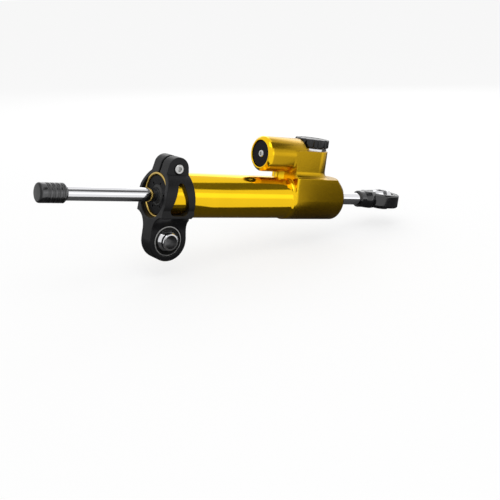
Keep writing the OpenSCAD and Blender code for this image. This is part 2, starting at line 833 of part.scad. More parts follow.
module pinch_screw() {
    head_y = lug_t / 2 + screw_proud;
    under = head_y - screw_head_h + fit;
    color(steel) translate([0, 0, tube_z + screw_z]) rotate([90, 0, 0]) difference() {
        rotate_extrude() polygon([
            [0, -lug_t / 2 + 0.3], [screw_r - 0.4, -lug_t / 2 + 0.3], [screw_r, -lug_t / 2 + 0.7],
            [screw_r, under], [screw_head_r, under], [screw_head_r, head_y - 0.4],
            [screw_head_r - 0.4, head_y], [0, head_y]
        ]);
        translate([0, 0, head_y - 1.6]) cylinder(h = 3, r = 1.45, $fn = 6);
    }
}

module clamp_bearing_race() {
    color(steel) rotate([90, 0, 0]) race(clamp_race_r - fit, clamp_race_w / 2);
}

// Ball with long shoulders, so that its bore stands proud of the clamp on both sides.
module clamp_ball() {
    half = clamp_ball_w / 2;
    color(chrome) rotate([90, 0, 0]) difference() {
        union() {
            sphere(r = ball_r);
            rotate_extrude() polygon([
                [0, -half], [clamp_shoulder_r - 0.3, -half], [clamp_shoulder_r, -half + 0.3],
                [clamp_shoulder_r, half - 0.3], [clamp_shoulder_r - 0.3, half], [0, half]
            ]);
        }
        cylinder(h = 40, r = ball_bore / 2, center = true);
    }
}

damper_body();
inner_tube();
inner_tube_seal();
front_end_cap();
front_guide_bush();
front_rod_seal();
front_wiper();
front_cap_o_ring();
rear_end_cap();
rear_guide_bush();
rear_rod_seal();
rear_wiper();
rear_cap_o_ring();
reservoir_plug();
reservoir_plug_o_ring();
bleed_screw();
compensator_piston();
compensator_o_ring();
compensator_spring();
valve_cartridge();
valve_o_ring();
detent_ring();
metering_needle();
adjuster_knob();
knob_set_screw();
detent_ball();
detent_spring();
piston();
piston_ring();
piston_circlips();
piston_rod();
stop_cap();
rod_end_housing();
rod_end_race();
rod_end_ball();
clamp_body();
pinch_screw();
clamp_bearing_race();
clamp_ball();
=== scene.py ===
import json
import math
from functools import cache

import bmesh
import bpy
from bpy.props import FloatProperty, FloatVectorProperty, IntProperty, PointerProperty
from mathutils import Matrix, Vector


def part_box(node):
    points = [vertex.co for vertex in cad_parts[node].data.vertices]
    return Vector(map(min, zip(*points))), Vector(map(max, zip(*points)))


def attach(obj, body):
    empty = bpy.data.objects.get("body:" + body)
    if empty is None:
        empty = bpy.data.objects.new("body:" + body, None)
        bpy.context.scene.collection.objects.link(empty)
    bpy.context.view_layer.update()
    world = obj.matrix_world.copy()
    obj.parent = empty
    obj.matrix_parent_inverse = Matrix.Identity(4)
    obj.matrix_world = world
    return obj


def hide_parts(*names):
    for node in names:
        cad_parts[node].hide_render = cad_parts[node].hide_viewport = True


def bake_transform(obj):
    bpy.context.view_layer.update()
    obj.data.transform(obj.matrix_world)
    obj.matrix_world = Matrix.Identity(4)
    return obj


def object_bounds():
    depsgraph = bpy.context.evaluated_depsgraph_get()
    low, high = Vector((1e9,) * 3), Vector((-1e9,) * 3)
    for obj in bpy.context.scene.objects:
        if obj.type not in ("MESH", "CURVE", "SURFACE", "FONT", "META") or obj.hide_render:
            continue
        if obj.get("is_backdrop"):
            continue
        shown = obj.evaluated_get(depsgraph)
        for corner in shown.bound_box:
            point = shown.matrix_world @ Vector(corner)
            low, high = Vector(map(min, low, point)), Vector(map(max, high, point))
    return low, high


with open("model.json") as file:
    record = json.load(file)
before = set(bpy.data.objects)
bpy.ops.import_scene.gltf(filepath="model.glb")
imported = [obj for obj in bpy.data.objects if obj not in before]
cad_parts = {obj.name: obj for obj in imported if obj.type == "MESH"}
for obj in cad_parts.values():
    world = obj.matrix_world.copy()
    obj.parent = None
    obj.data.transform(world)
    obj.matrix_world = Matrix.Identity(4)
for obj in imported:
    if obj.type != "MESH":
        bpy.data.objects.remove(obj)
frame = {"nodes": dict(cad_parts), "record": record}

bl_info = {
    "name": "Steering damper",
    "version": (1, 0, 0),
    "blender": (4, 5, 0),
    "location": "3D View > Sidebar > Damper",
    "description": "Finishes the pieces of a steering damper and sets up its studio",
    "category": "Object",
}

CAD_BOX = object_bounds()
MM = 0.001
# Too small to see; it guards joins and divisions
TINY = 0.001 * MM

# Turns from a piece's own Z axis to its line in the frame
ALONG_X = Matrix.Rotation(math.radians(90), 4, "Y")
ALONG_Z = Matrix.Identity(4)


def middle(node):
    """Centre of a node's box."""
    low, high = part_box(node)
    return (low + high) / 2


def extent(node, axis):
    """Lowest and highest place of a node along one axis."""
    low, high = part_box(node)
    return low[axis], high[axis]


# Line and top of the turned tube, and the end of the lip at its front
TUBE_Z = middle("piston_rod").z
TUBE_LINE = Vector((0, 0, TUBE_Z))
TUBE_TOP = TUBE_Z + 13 * MM
TUBE_LIP_END = extent("damper_body", 0)[0] + 0.5 * MM
# Front face and upper edge of the milled block
BLOCK_FRONT = 83.5 * MM
BLOCK_TOP = TUBE_Z + 14 * MM
# End of the polished rim round the reservoir plug
RIM_END = extent("reservoir_plug", 0)[0] + 1.6 * MM
# Bore of the bearing balls, and the inside of the lip on their races
BORE_RADIUS = 4 * MM
RACE_LIP_RADIUS = 8.15 * MM
# Rear and lower edge of the clamp's side walls, and their distance from its middle
WALL_REAR = 10.3 * MM
WALL_LOW = 13 * MM
WALL_SIDE = 8.7 * MM


def colour_property(name, description, default):
    """A colour, as linear values."""
    return FloatVectorProperty(
        name=name, description=description, default=default, size=3, min=0, max=1,
        subtype="COLOR")


def length_property(name, description, default):
    """A length in metres."""
    return FloatProperty(
        name=name, description=description, default=default, min=0, unit="LENGTH")


class DamperColours(bpy.types.PropertyGroup):
    """Colours of the damper's finishes."""
    gold: colour_property(
        "Gold", "Polished gold anodising of the turned tube", (0.9, 0.55, 0.012))
    # Milled gold: a darker copy of the tube's gold, painted shade standing in for the dimmer
    # reflections of the milled block and reservoir
    shaded_milled_gold: colour_property(
        "Milled gold", "Satin gold anodising of the milled block and reservoir",
        (0.48, 0.283, 0.008))
    lip_gold: colour_property(
        "Lip gold", "Paler, thinner anodising on the lip at the tube's front", (0.55, 0.38, 0.1))
    satin_black: colour_property(
        "Satin black", "Satin black anodising of clamp and end caps", (0.008, 0.008, 0.009))
    turned_black: colour_property(
        "Turned black", "Bright black anodising of the stop cap's turned side",
        (0.11, 0.11, 0.112))
    gloss_black: colour_property(
        "Gloss black", "Gloss black anodising of knob and rod end", (0.007, 0.007, 0.008))
    plug: colour_property(
        "Plug", "Dull black of the reservoir plug", (0.008, 0.006, 0.01))
    chrome: colour_property(
        "Chrome", "Hard chrome of rod and bearing balls", (0.78, 0.78, 0.8))
    zinc: colour_property(
        "Zinc", "Bright zinc plating of screws, springs and small steel pieces",
        (0.52, 0.52, 0.51))
    bronze: colour_property(
        "Bronze", "Bearing bronze of the guide bushes", (0.6, 0.35, 0.12))
    rubber: colour_property(
        "Rubber", "Nitrile rubber of seals, wipers and O-rings", (0.02, 0.02, 0.02))
    plastic: colour_property(
        "Bearing plastic", "Filled plastic of the piston ring", (0.1, 0.16, 0.12))
    floor: colour_property("Floor", "Pale floor of the studio", (0.36, 0.36, 0.36))


class DamperSizes(bpy.types.PropertyGroup):
    """Sizes of the details that are added to the damper's pieces."""
    edge_break: length_property(
        "Edge break", "Width of the small chamfer on the body's machined edges", 0.3 * MM)
    front_edge: length_property(
        "Block front edge", "Width of the chamfer on the block's front edges", 1 * MM)
    cap_edge: length_property(
        "Cap edge", "Width of the chamfer on end caps and reservoir plug", 0.12 * MM)
    clamp_detail: IntProperty(
        name="Clamp detail", description="Halvings of the grid that softens the clamp's edges",
        default=8, min=6, max=8)
    wall_corner: length_property(
        "Wall corner", "Radius of the rear lower corner of the clamp's walls", 6.5 * MM)
    knob_flutes: IntProperty(
        name="Knob flutes", description="Number of finger flutes round the knob",
        default=14, min=3)
    flute_depth: length_property(
        "Flute depth", "Depth of the knob's finger flutes", 0.7 * MM)
    groove_width: length_property(
        "Groove width", "Width of a grip groove on the stop cap", 0.55 * MM)
    groove_depth: length_property(
        "Groove depth", "Depth of a grip groove on the stop cap", 0.4 * MM)
    groove_pitch: length_property(
        "Groove pitch", "Distance between pairs of grip grooves", 2.75 * MM)
    groove_gap: length_property(
        "Groove gap", "Distance between the two grooves of a pair", 0.95 * MM)
    groove_pairs: IntProperty(
        name="Groove pairs", description="Number of pairs of grip grooves", default=4, min=0)
    pin_holes: IntProperty(
        name="Pin holes", description="Number of spanner holes in an end cap", default=6, min=2)
    pin_circle: length_property(
        "Pin circle", "Radius of the circle that the spanner holes lie on", 7.55 * MM)
    pin_turn: FloatProperty(
        name="Pin turn", description="Angle of the first spanner hole",
        default=math.radians(24), subtype="ANGLE", unit="ROTATION")


class StudioSettings(bpy.types.PropertyGroup):
    """Camera, floor and background of the studio."""
    camera_place: FloatVectorProperty(
        name="Camera place", description="Where the camera stands",
        default=(-0.2656, -0.4283, 0.1025), size=3, subtype="TRANSLATION", unit="LENGTH")
    camera_right: FloatVectorProperty(
        name="Camera right", description="Direction of the picture's right side",
        default=(0.8019, -0.5844, 0.1239), size=3, subtype="DIRECTION")
    camera_down: FloatVectorProperty(
        name="Camera down", description="Direction of the picture's lower side",
        default=(-0.0207, -0.2343, -0.9719), size=3, subtype="DIRECTION")
    lens: FloatProperty(
        name="Lens", description="Focal length in millimetres on a 36 mm sensor",
        default=63.65, min=1)
    floor_tilt: FloatProperty(
        name="Floor tilt", description="Tilt of the floor, parallel to the damper's two ends",
        default=math.radians(10.2), subtype="ANGLE", unit="ROTATION")
    floor_depth: length_property(
        "Floor depth", "Distance of the floor below the clamp's bearing", 21.5 * MM)
    floor_radius: length_property("Floor radius", "Radius of the floor", 6)
    floor_glow: FloatProperty(
        name="Floor glow", description="Light added to the floor where it is the background",
        default=0.66, min=0)
    world_level: FloatProperty(
        name="World level", description="Brightness of the studio's air", default=0.75, min=0)


# Nodes of materials, of the world and of geometry trees

def feed(tree, value, socket):
    """Gives a socket a plain value or another node's output."""
    if isinstance(value, bpy.types.NodeSocket):
        tree.links.new(value, socket)
    elif socket.type == "RGBA":
        socket.default_value = (*value, 1)
    else:
        socket.default_value = value


def add_node(tree, kind, inputs=None, **settings):
    """Adds a node; inputs maps its sockets to plain values or to other nodes' outputs."""
    node = tree.nodes.new(kind)
    for key, value in settings.items():
        setattr(node, key, value)
    for key, value in (inputs or {}).items():
        feed(tree, value, node.inputs[key])
    return node


def maths(tree, operation, a, b=None):
    """Output of a Math node."""
    inputs = {i: value for i, value in enumerate((a, b)) if value is not None}
    return add_node(tree, "ShaderNodeMath", inputs, operation=operation).outputs[0]


def times(tree, a, b):
    """The product of two values."""
    return maths(tree, "MULTIPLY", a, b)


def mixed(tree, value, first, second, kind="RGBA"):
    """Goes from first to second with value; kind is RGBA for colours, VALUE for numbers."""
    data_type = "FLOAT" if kind == "VALUE" else kind
    node = add_node(tree, "ShaderNodeMix", {"Factor": value}, data_type=data_type)
    ends = [socket for socket in node.inputs if socket.type == kind and socket.name in "AB"]
    feed(tree, first, ends[0])
    feed(tree, second, ends[1])
    return next(socket for socket in node.outputs if socket.type == kind)


def spread(tree, value, low, high, start=0.3, end=0.7):
    """Maps value from start..end to low..high."""
    return add_node(tree, "ShaderNodeMapRange", {
        "Value": value, "From Min": start, "From Max": end, "To Min": low,
        "To Max": high}).outputs["Result"]


def past(tree, value, edge, width):
    """0 up to edge, then rising to 1 over width."""
    return spread(tree, value, 0, 1, edge, edge + width)


def tinted(colour, factor):
    """The colour times a factor."""
    return tuple(min(1, c * factor) for c in colour)


def varied(tree, value, colour, first, second):
    """The colour times a factor that goes from first to second with value."""
    return mixed(tree, value, tinted(colour, first), tinted(colour, second))


def surface_point(tree):
    """Where the surface is in the frame."""
    return add_node(tree, "ShaderNodeTexCoord").outputs["Object"]


def surface_place(tree, axis):
    """Where the surface is along X, Y or Z."""
    return add_node(tree, "ShaderNodeSeparateXYZ", {0: surface_point(tree)}).outputs[axis]


def noise(tree, cells, stretch=(1, 1, 1), detail=3):
    """Noise of so many cells a metre, fewer along an axis whose stretch is below 1."""
    mapping = add_node(tree, "ShaderNodeMapping", {
        "Vector": surface_point(tree), "Scale": stretch})
    return add_node(tree, "ShaderNodeTexNoise", {
        "Vector": mapping.outputs[0], "Scale": cells, "Detail": detail}).outputs["Fac"]


def axis_radius(tree, centre, turn):
    """Distance from the axis through centre that runs along Z before turn is applied."""
    mapping = add_node(tree, "ShaderNodeMapping", {
        "Vector": surface_point(tree), "Location": centre,
        "Rotation": [math.radians(angle) for angle in turn]}, vector_type="TEXTURE")
    flat = add_node(tree, "ShaderNodeVectorMath", {0: mapping.outputs[0], 1: (1, 1, 0)},
                    operation="MULTIPLY")
    return add_node(tree, "ShaderNodeVectorMath", {0: flat.outputs[0]},
                    operation="LENGTH").outputs["Value"]


# Procedural materials

def new_shader(name, colour, roughness, metallic=0, specular=0.5):
    """A material, its tree and its shader, with plain values that a finish then varies."""
    material = bpy.data.materials.new(name)
    material.use_nodes = True
    tree = material.node_tree
    shader = tree.nodes["Principled BSDF"]
    feed(tree, colour, shader.inputs["Base Color"])
    feed(tree, roughness, shader.inputs["Roughness"])
    feed(tree, metallic, shader.inputs["Metallic"])
    feed(tree, specular, shader.inputs["Specular IOR Level"])
    return material, tree, shader


def dress(tree, shader, tone, roughness):
    """Gives the shader a colour and a roughness that vary over the surface."""
    feed(tree, tone, shader.inputs["Base Color"])
    feed(tree, roughness, shader.inputs["Roughness"])


def relief(tree, shader, height, depth, strength):
    """Small relief from a height value."""
    bump = add_node(tree, "ShaderNodeBump", {
        "Height": height, "Distance": depth, "Strength": strength})
    feed(tree, bump.outputs["Normal"], shader.inputs["Normal"])


def clouded(name, colour, tones, rough, cells, detail=3, grain=0, depth=0, strength=0, **plain):
    """A finish whose tone and roughness drift together, over a grain of so many cells a metre."""
    material, tree, shader = new_shader(name, colour, sum(rough) / 2, **plain)
    cloud = noise(tree, cells, detail=detail)
    dress(tree, shader, varied(tree, cloud, colour, *tones), spread(tree, cloud, *rough))
    if grain:
        relief(tree, shader, noise(tree, grain, detail=2), depth, strength)
    return material


def milled_area(tree):
    """1 on the milled block, tower and reservoir, 0 on the turned tube and the rim; it gives the
    milled areas their satin roughness and their darker, painted-shade gold.
    """
    clearance = 1 * MM
    behind = past(tree, surface_place(tree, "X"), BLOCK_FRONT + clearance, width=1.5 * MM)
    above = past(tree, surface_place(tree, "Z"), TUBE_TOP + clearance, width=2 * MM)
    rim = past(tree, surface_place(tree, "X"), RIM_END, width=1 * MM)
    return maths(tree, "MAXIMUM", behind, times(tree, above, rim))


def gold_anodising(colours):
    """Gold anodising: polished on the turned tube, satin where the body was milled, with a darker
    gold there as painted shade.
    """
    material, tree, shader = new_shader("Gold anodising", colours.gold, 0.13, metallic=1)
    milled = milled_area(tree)
    drift = spread(tree, noise(tree, cells=38, detail=2), low=0, high=1)
    # Milled areas take the darker gold, which is painted shade
    tone = mixed(tree, milled, varied(tree, drift, colours.gold, 0.95, 1.03),
                 varied(tree, drift, colours.shaded_milled_gold, 0.93, 1.07))
    behind_lip = past(tree, surface_place(tree, "X"), TUBE_LIP_END, width=0.2 * MM)
    streaks = noise(tree, cells=700, stretch=(0.05, 1, 1))
    grain = noise(tree, cells=5000, detail=2)
    roughness = mixed(tree, milled, spread(tree, streaks, low=0.09, high=0.15),
                      spread(tree, grain, low=0.24, high=0.29), "VALUE")
    dress(tree, shader, mixed(tree, behind_lip, colours.lip_gold, tone), roughness)
    marks = noise(tree, cells=2600, stretch=(0.03, 1, 1), detail=2)
    turned = spread(tree, milled, low=1, high=0, start=0, end=1)
    relief(tree, shader, times(tree, marks, turned), depth=0.008 * MM, strength=0.25)
    return material


def satin_black(colours, name="Satin black anodising", shine=0.2):
    """Black anodising over a finely blasted surface."""
    return clouded(name, colours.satin_black, tones=(0.75, 1.35), rough=(0.34, 0.46), cells=90,
                   grain=5200, depth=0.02 * MM, strength=0.5, specular=shine)


def cap_black(colours):
    """Duller black of the end caps."""
    return satin_black(colours, "Cap black", shine=0.07)


def turned_black(colours, face):
    """Bright black anodising on a turned side; the end at X = face is duller and darkened as
    painted shade.
    """
    black = colours.turned_black
    material, tree, shader = new_shader("Turned black anodising", black, 0.24, metallic=1)
    side = past(tree, surface_place(tree, "X"), face + 0.6 * MM, width=0.8 * MM)
    marks = noise(tree, cells=2400, stretch=(1, 0.05, 0.05))
    # The end face is tinted to 0.3 of the black: painted shade
    tone = mixed(tree, side, tinted(black, 0.3), varied(tree, marks, black, 0.75, 1.2))
    duller_end = spread(tree, side, low=1.5, high=1, start=0, end=1)
    roughness = times(tree, duller_end, spread(tree, marks, low=0.18, high=0.3))
    dress(tree, shader, tone, roughness)
    relief(tree, shader, marks, depth=0.01 * MM, strength=0.3)
    return material


def gloss_black(colours, name="Gloss black anodising", shine=0.7, coat=0.3):
    """Bright black anodising with a clear, slightly rippled reflection."""
    material = clouded(name, colours.gloss_black, tones=(0.8, 1.3), rough=(0.11, 0.22), cells=160,
                       grain=900, depth=0.01 * MM, strength=0.3, specular=shine)
    shader = material.node_tree.nodes["Principled BSDF"]
    shader.inputs["Coat Weight"].default_value = coat
    shader.inputs["Coat Roughness"].default_value = 0.06
    return material


def knob_black(colours):
    """Gloss black of the knob, with less shine than the rod end's."""
    return gloss_black(colours, "Knob black", shine=0.4, coat=0)


def hard_chrome(colours):
    """Ground and chromed rod: fine grinding marks round it."""
    material, tree, shader = new_shader("Hard chrome", colours.chrome, 0.07, metallic=1)
    marks = noise(tree, cells=3200, stretch=(1, 0.03, 0.03))
    drift = noise(tree, cells=120, detail=2)
    dress(tree, shader, varied(tree, drift, colours.chrome, 0.95, 1.03),
          spread(tree, marks, low=0.045, high=0.11))
    relief(tree, shader, marks, depth=0.006 * MM, strength=0.3)
    return material


def bearing_steel(colours, centre, turn):
    """Polished ball; its bore is dull and darkened as painted shade."""
    chrome = colours.chrome
    material, tree, shader = new_shader("Bearing steel", chrome, 0.1, metallic=1)
    radius = axis_radius(tree, centre, turn)
    outside = past(tree, radius, BORE_RADIUS + 0.02 * MM, width=0.08 * MM)
    drift = noise(tree, cells=500)
    # The bore is tinted to 0.16 of the chrome: painted shade inside the hole
    tone = mixed(tree, outside, tinted(chrome, 0.16), varied(tree, drift, chrome, 0.82, 0.98))
    dull_bore = spread(tree, outside, low=0.42, high=0.1, start=0, end=1)
    roughness = times(tree, dull_bore, spread(tree, drift, low=0.8, high=1.3))
    dress(tree, shader, tone, roughness)
    return material


def race_steel(colours, centre, turn):
    """Race with a bare, staked lip round its face; inside the lip it is darkened as painted shade
    of the gap round the ball.
    """
    zinc = colours.zinc
    material, tree, shader = new_shader("Race steel", zinc, 0.35, metallic=0.9)
    lip = past(tree, axis_radius(tree, centre, turn), RACE_LIP_RADIUS, width=0.1 * MM)
    cloud = noise(tree, cells=800, detail=4)
    # Inside the lip the race is tinted to 0.03 of the zinc: painted shade in the gap round the
    # ball
    tone = mixed(tree, lip, tinted(zinc, 0.03), varied(tree, cloud, zinc, 0.6, 0.95))
    dress(tree, shader, tone, spread(tree, cloud, low=0.28, high=0.5))
    return material


def zinc_plate(colours):
    """Bright zinc with a soft, cloudy sheen."""
    return clouded("Bright zinc", colours.zinc, tones=(0.88, 1.1), rough=(0.17, 0.32), cells=420,
                   detail=4, grain=3000, depth=0.01 * MM, strength=0.4, metallic=1)


def bush_bronze(colours):
    """Turned bronze with a few darker spots of graphite."""
    material, tree, shader = new_shader("Bearing bronze", colours.bronze, 0.32, metallic=1)
    spots = noise(tree, cells=1400, detail=2)
    graphite = past(tree, spots, 0.58, width=0.08)
    dress(tree, shader, varied(tree, graphite, colours.bronze, 1, 0.45),
          spread(tree, spots, low=0.26, high=0.42))
    return material


def nitrile_rubber(colours):
    """Moulded rubber with a dull bloom."""
    return clouded("Nitrile rubber", colours.rubber, tones=(1, 1.9), rough=(0.6, 0.8), cells=600,
                   grain=4000, depth=0.02 * MM, strength=0.4)


def bearing_plastic(colours):
    """Filled bearing plastic with a fine speckle."""
    return clouded("Filled bearing plastic", colours.plastic, tones=(0.7, 1.3), rough=(0.5, 0.5),
                   cells=2500, detail=2)


def plug_black(colours):
    """Dull black plug face with a faint violet cast."""
    return clouded("Plug black", colours.plug, tones=(0.7, 1.4), rough=(0.38, 0.52), cells=1500,
                   specular=0.08)


FINISHES = {
    "gold_anodised": gold_anodising,
    "black_anodised": satin_black,
    "black_gloss": gloss_black,
    "chrome": hard_chrome,
    "steel": zinc_plate,
    "bronze": bush_bronze,
    "rubber": nitrile_rubber,
    "bearing_plastic": bearing_plastic,
}


@cache
def finish_of(slot):
    """The material for one of the record's slots, made once."""
    return FINISHES[slot](bpy.context.scene.damper_colours)


NODE_SLOTS = {part["node"]: part["material_slot"] for part in frame["record"]["subparts"]}
NODE_BODIES = {
    node: body
    for body, nodes in frame["record"]["behaviour"]["bodies"].items() for node in nodes
}
painted_nodes = set()


# Making and placing pieces

def link_object(name, data):
    """Links a mesh, lamp or camera to the scene as an object."""
    item = bpy.data.objects.new(name, data)
    bpy.context.scene.collection.objects.link(item)
    return item


def coat(mesh, material):
    """Gives a mesh one material."""
    mesh.materials.clear()
    mesh.materials.append(material)


def add_piece(name, mesh, node, material=None, span=None, trim=False):
    """Links a mesh in place of a CAD node, or as its trim; with span, it stays in the frame, not
    attached to a body.
    """
    piece = link_object(name, mesh)
    coat(mesh, material or finish_of(NODE_SLOTS[node]))
    if span:
        NODE_BODIES[node]
        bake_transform(piece)
    else:
        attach(piece, NODE_BODIES[node])
    if not trim:
        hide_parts(node)


def paint_node(node, material=None):
    """Gives a CAD node its finish."""
    coat(frame["nodes"][node].data, material or finish_of(NODE_SLOTS[node]))
    painted_nodes.add(node)


def smooth(mesh, angle=35):
    """Smooth shading with sharp edges past an angle in degrees."""
    mesh.shade_smooth()
    mesh.set_sharp_from_angle(angle=math.radians(angle))


def outward(mesh):
    """Turns a closed mesh's faces outwards."""
    work = bmesh.new()
    work.from_mesh(mesh)
    if work.calc_volume(signed=True) < 0:
        bmesh.ops.reverse_faces(work, faces=work.faces)
    work.to_mesh(mesh)
    work.free()


def evaluated_mesh(holder):
    """The plain mesh that an object's modifiers make; the object is removed."""
    depsgraph = bpy.context.evaluated_depsgraph_get()
    mesh = bpy.data.meshes.new_from_object(
        holder.evaluated_get(depsgraph), preserve_all_data_layers=True, depsgraph=depsgraph)
    bpy.data.objects.remove(holder)
    return mesh


def merge(mesh):
    """Joins doubles and the faces that lie in one plane."""
    work = bmesh.new()
    work.from_mesh(mesh)
    bmesh.ops.remove_doubles(work, verts=work.verts, dist=2 * TINY)
    bmesh.ops.dissolve_limit(
        work, angle_limit=math.radians(0.4), verts=work.verts, edges=work.edges)
    work.to_mesh(mesh)
    work.free()


def merged_copy(node):
    """A copy of a CAD node's mesh with its loose triangles joined."""
    mesh = frame["nodes"][node].data.copy()
    if mesh.has_custom_normals:
        mesh.normals_split_custom_set([(0, 0, 0)] * len(mesh.loops))
    merge(mesh)
    return mesh


def without(mesh, cutters):
    """The mesh with the cutters taken away from it."""
    holder = link_object("holder", mesh)
    tool = link_object("cutters", cutters)
    cut = holder.modifiers.new("Cut", "BOOLEAN")
    cut.operation = "DIFFERENCE"
    cut.object = tool
    mesh = evaluated_mesh(holder)
    bpy.data.objects.remove(tool)
    merge(mesh)
    return mesh


def weigh_edges(mesh, weight, least_angle=math.radians(28)):
    """Marks the outer edges to be broken, and keeps the others sharp."""
    work = bmesh.new()
    work.from_mesh(mesh)
    layer = work.edges.layers.float.new("bevel_weight_edge")
    for edge in work.edges:
        if len(edge.link_faces) == 2 and edge.calc_face_angle(0) > least_angle:
            outer = edge.calc_face_angle_signed(0) > 0
            edge[layer] = weight(edge) if outer else 0
            edge.smooth = edge[layer] > 0
    work.to_mesh(mesh)
    work.free()


def with_broken_edges(node, width, segments=2, weight=lambda edge: 1):
    """A copy of a CAD node's mesh with a small chamfer on its sharp edges."""
    mesh = merged_copy(node)
    weigh_edges(mesh, weight)
    holder = link_object("holder", mesh)
    bevel = holder.modifiers.new("Edge break", "BEVEL")
    bevel.width = width
    bevel.segments = segments
    bevel.limit_method = "WEIGHT"
    bevel.use_clamp_overlap = False
    bevel.loop_slide = False
    bevel.harden_normals = True
    return evaluated_mesh(holder)


def forged(mesh, detail, passes):
    """The mesh with its edges and corners flowing together, rebuilt on a fine grid."""
    holder = link_object("holder", mesh)
    remesh = holder.modifiers.new("Remesh", "REMESH")
    remesh.mode = "SHARP"
    remesh.octree_depth = detail
    remesh.scale = 0.95
    soften = holder.modifiers.new("Soften", "SMOOTH")
    soften.factor = 0.5
    soften.iterations = passes
    thin = holder.modifiers.new("Thin", "DECIMATE")
    thin.ratio = 0.8
    mesh = evaluated_mesh(holder)
    mesh.shade_smooth()
    return mesh


def arc(centre, radius, first, last, steps):
    """Points along an arc between two angles in degrees."""
    angles = [math.radians(first + (last - first) * i / steps) for i in range(steps + 1)]
    return [(centre[0] + radius * math.cos(angle), centre[1] + radius * math.sin(angle))
            for angle in angles]


def rounded(points, radius=0.15 * MM, steps=3):
    """A profile of (radius, height) points with its inner corners rounded."""
    side_share = 0.45
    line = [Vector(points[0])]
    for before, corner, after in zip(points, points[1:], points[2:]):
        before, corner, after = Vector(before), Vector(corner), Vector(after)
        there, on = before - corner, after - corner
        reach = min(radius, there.length * side_share, on.length * side_share)
        start = corner + there.normalized() * reach
        end = corner + on.normalized() * reach
        for step in range(steps + 1):
            t = step / steps
            line.append(start.lerp(corner, t).lerp(corner.lerp(end, t), t))
    line.append(Vector(points[-1]))
    return line


def profile_mesh(line):
    """A line of vertices with radius along X and height along Z."""
    mesh = bpy.data.meshes.new("profile")
    mesh.from_pydata([(p.x, 0, p.y) for p in line], [(i, i + 1) for i in range(len(line) - 1)], [])
    return mesh


# Geometry node trees, each built once

def new_tree(name, sockets):
    """A geometry tree with named inputs. Returns the tree and its input and output nodes."""
    tree = bpy.data.node_groups.new(name, "GeometryNodeTree")
    tree.interface.new_socket("Geometry", in_out="OUTPUT", socket_type="NodeSocketGeometry")
    tree.interface.new_socket("Geometry", in_out="INPUT", socket_type="NodeSocketGeometry")
    for label, kind in sockets:
        tree.interface.new_socket(label, in_out="INPUT", socket_type="NodeSocket" + kind)
    tree.interface.new_socket("Material", in_out="INPUT", socket_type="NodeSocketMaterial")
    return tree, tree.nodes.new("NodeGroupInput"), tree.nodes.new("NodeGroupOutput")


def end_tree(tree, given, result, geometry):
    """Closes a tree with Realize Instances and Set Material."""
    real = add_node(tree, "GeometryNodeRealizeInstances", {"Geometry": geometry})
    coated = add_node(tree, "GeometryNodeSetMaterial", {
        "Geometry": real.outputs[0], "Material": given.outputs["Material"]})
    tree.links.new(coated.outputs[0], result.inputs[0])
    return tree


@cache
def turned_tree():
    """Turns a profile about Z: a grid whose columns are the profile's points."""
    tree, given, result = new_tree("Turned piece", [("Segments", "Int")])
    size = add_node(tree, "GeometryNodeAttributeDomainSize", {"Geometry": given.outputs[0]})
    count = size.outputs["Point Count"]
    grid = add_node(tree, "GeometryNodeMeshGrid", {
        "Size X": 1.0, "Size Y": 1.0, "Vertices X": count,
        "Vertices Y": maths(tree, "ADD", given.outputs["Segments"], 1)})
    place = add_node(tree, "ShaderNodeSeparateXYZ", {
        0: add_node(tree, "GeometryNodeInputPosition").outputs[0]})
    column = times(
        tree, maths(tree, "ADD", place.outputs["X"], 0.5), maths(tree, "SUBTRACT", count, 1))
    point = add_node(tree, "GeometryNodeSampleIndex", {
        "Geometry": given.outputs[0],
        "Value": add_node(tree, "GeometryNodeInputPosition").outputs[0],
        "Index": maths(tree, "ROUND", column)}, data_type="FLOAT_VECTOR")
    turn = times(tree, maths(tree, "ADD", place.outputs["Y"], 0.5), math.tau)
    at = add_node(tree, "ShaderNodeSeparateXYZ", {0: point.outputs[0]})
    position = add_node(tree, "ShaderNodeCombineXYZ", {
        "X": times(tree, at.outputs["X"], maths(tree, "COSINE", turn)),
        "Y": times(tree, at.outputs["X"], maths(tree, "SINE", turn)),
        "Z": at.outputs["Z"]})
    moved = add_node(tree, "GeometryNodeSetPosition", {
        "Geometry": grid.outputs["Mesh"], "Position": position.outputs[0]})
    closed = add_node(tree, "GeometryNodeMergeByDistance", {
        "Geometry": moved.outputs[0], "Distance": TINY})
    return end_tree(tree, given, result, closed.outputs[0])


@cache
def flute_tree():
    """Presses finger flutes into a turned piece, deepest at its rim."""
    tree, given, result = new_tree("Finger flutes", [
        ("Flutes", "Int"), ("Depth", "Float"), ("Rim radius", "Float")])
    fullness = 0.6
    start_share = 0.82
    full_share = 0.96
    place = add_node(tree, "GeometryNodeInputPosition").outputs[0]
    at = add_node(tree, "ShaderNodeSeparateXYZ", {0: place})
    x, y, z = at.outputs["X"], at.outputs["Y"], at.outputs["Z"]
    radius = maths(tree, "SQRT", maths(tree, "ADD", times(tree, x, x), times(tree, y, y)))
    wave = maths(tree, "COSINE", times(
        tree, maths(tree, "ARCTAN2", y, x), given.outputs["Flutes"]))
    dent = maths(tree, "POWER", maths(tree, "MAXIMUM", wave, 0.0), fullness)
    share = add_node(tree, "ShaderNodeMapRange", {
        "Value": radius,
        "From Min": times(tree, given.outputs["Rim radius"], start_share),
        "From Max": times(tree, given.outputs["Rim radius"], full_share)})
    cut = times(tree, times(tree, dent, given.outputs["Depth"]), share.outputs["Result"])
    factor = maths(tree, "SUBTRACT", 1.0, maths(
        tree, "DIVIDE", cut, maths(tree, "MAXIMUM", radius, TINY)))
    position = add_node(tree, "ShaderNodeCombineXYZ", {
        "X": times(tree, x, factor), "Y": times(tree, y, factor), "Z": z})
    moved = add_node(tree, "GeometryNodeSetPosition", {
        "Geometry": given.outputs[0], "Position": position.outputs[0]})
    return end_tree(tree, given, result, moved.outputs[0])


